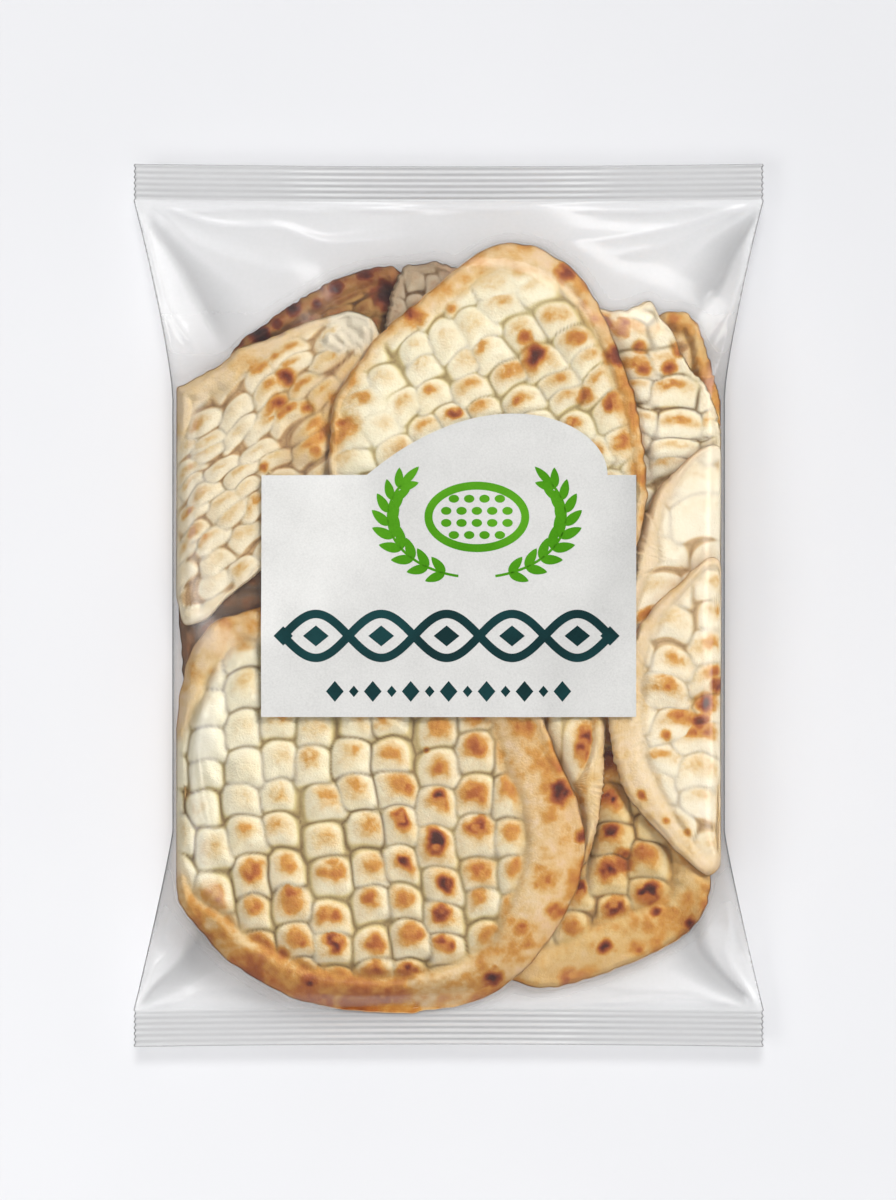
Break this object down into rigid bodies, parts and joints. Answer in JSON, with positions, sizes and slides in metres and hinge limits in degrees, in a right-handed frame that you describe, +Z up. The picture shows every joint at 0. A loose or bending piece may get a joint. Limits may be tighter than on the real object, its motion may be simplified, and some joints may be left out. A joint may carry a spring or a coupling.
{
  "type": "bag of saj bread",
  "caption": "Clear sealed pillow bag of overlapping dimpled flatbreads, lying on its back, with ribbed end seals and a pale arched label on the front.",
  "frame": {"origin": "On the table surface, under the middle of the bag's length and width.", "axes": "+Z up, out of the front of the bag that carries the label; +Y towards the top seal; +X towards the right hand side of the label."},
  "size_m": [0.317, 0.442, 0.0584],
  "materials": {
    "film": "clear glossy film over pale toasted bread",
    "paper": "matt off-white paper"
  },
  "bodies": {
    "root": {"sealed_bag": "film", "label": "paper"}
  },
  "joints": []
}
